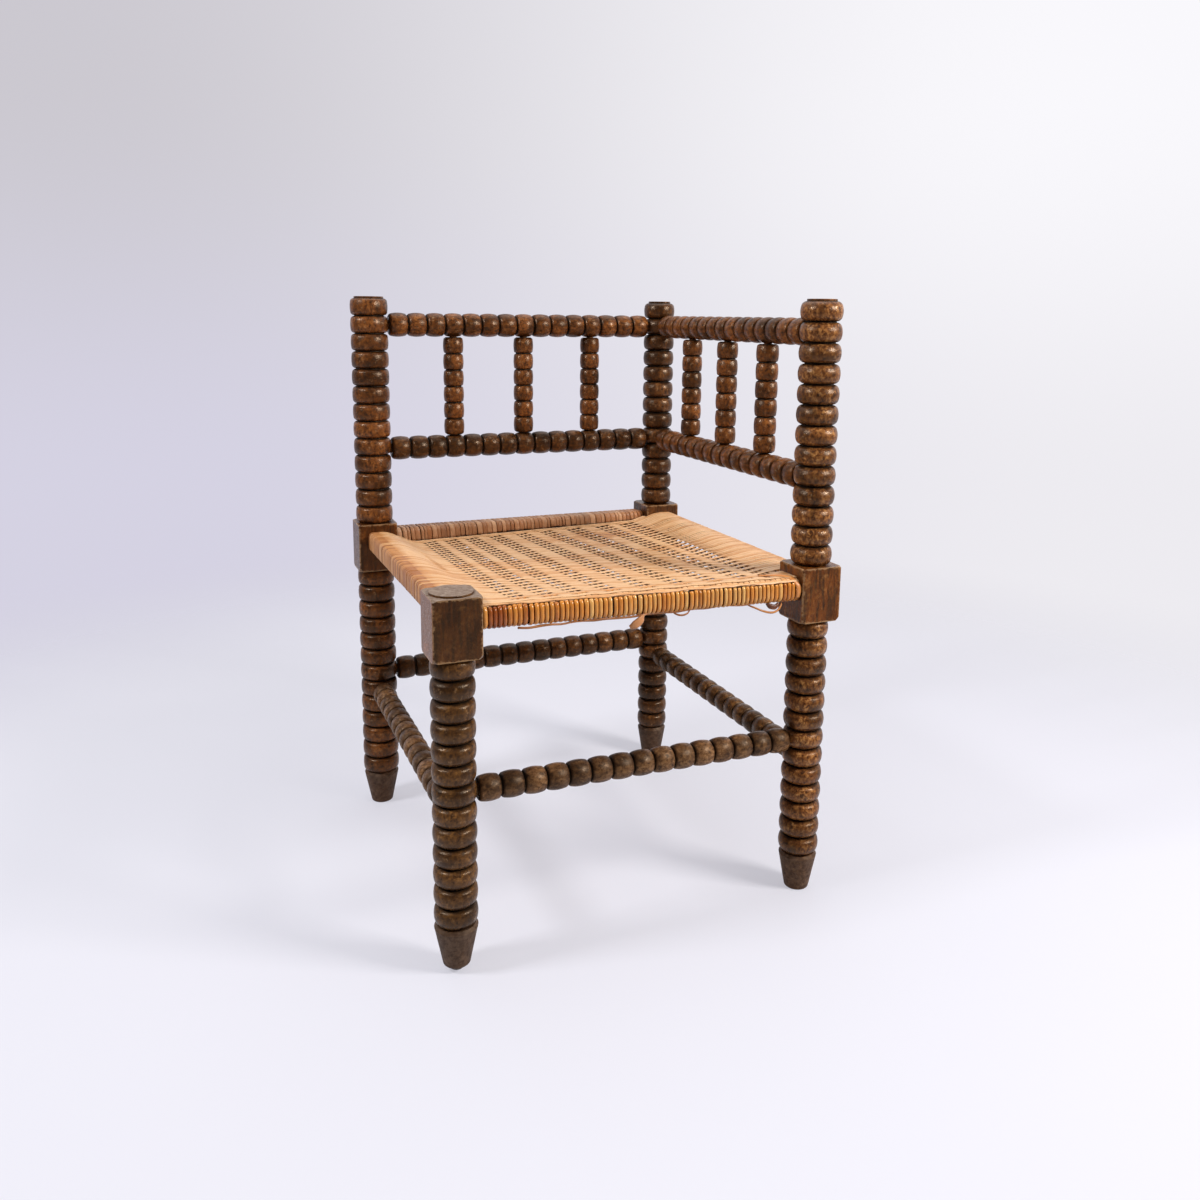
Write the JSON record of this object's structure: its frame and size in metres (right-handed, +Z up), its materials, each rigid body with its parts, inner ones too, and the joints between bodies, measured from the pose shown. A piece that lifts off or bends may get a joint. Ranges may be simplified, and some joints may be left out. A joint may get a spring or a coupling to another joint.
{
  "type": "corner chair",
  "caption": "Low wooden corner chair with bobbin-turned posts, rails and spindles, two open back panels and a woven cane seat.",
  "frame": {"origin": "on the floor, at the centre of the square made by the four post axes", "axes": "+Z up; +X along the front rail from the short front post to the tall right post; +Y from the front to the back"},
  "size_m": [0.482, 0.472, 0.7143],
  "materials": {
    "post_wood": "dark reddish brown stain under worn semi-gloss polish",
    "turned_wood": "dark reddish brown stain under worn semi-gloss polish",
    "rough_wood": "bare sawn wood, hidden under the cane",
    "cane": "honey coloured split cane, satin",
    "glide_steel": "dark, worn"
  },
  "bodies": {
    "root": {"back_lower_rail": "turned_wood", "back_seat_rail": "rough_wood", "back_spindle_1": "turned_wood", "back_spindle_2": "turned_wood", "back_spindle_3": "turned_wood", "back_stretcher": "turned_wood", "back_top_rail": "turned_wood", "cane_tails": "cane", "cane_web": "cane", "cane_wrap_back": "cane", "cane_wrap_front": "cane", "cane_wrap_left": "cane", "cane_wrap_right": "cane", "corner_post": "post_wood", "foot_glide": "glide_steel", "front_post": "post_wood", "front_seat_rail": "rough_wood", "front_stretcher": "turned_wood", "left_post": "post_wood", "left_seat_rail": "rough_wood", "left_stretcher": "turned_wood", "right_lower_rail": "turned_wood", "right_post": "post_wood", "right_seat_rail": "rough_wood", "right_spindle_1": "turned_wood", "right_spindle_2": "turned_wood", "right_spindle_3": "turned_wood", "right_stretcher": "turned_wood", "right_top_rail": "turned_wood"}
  },
  "joints": []
}
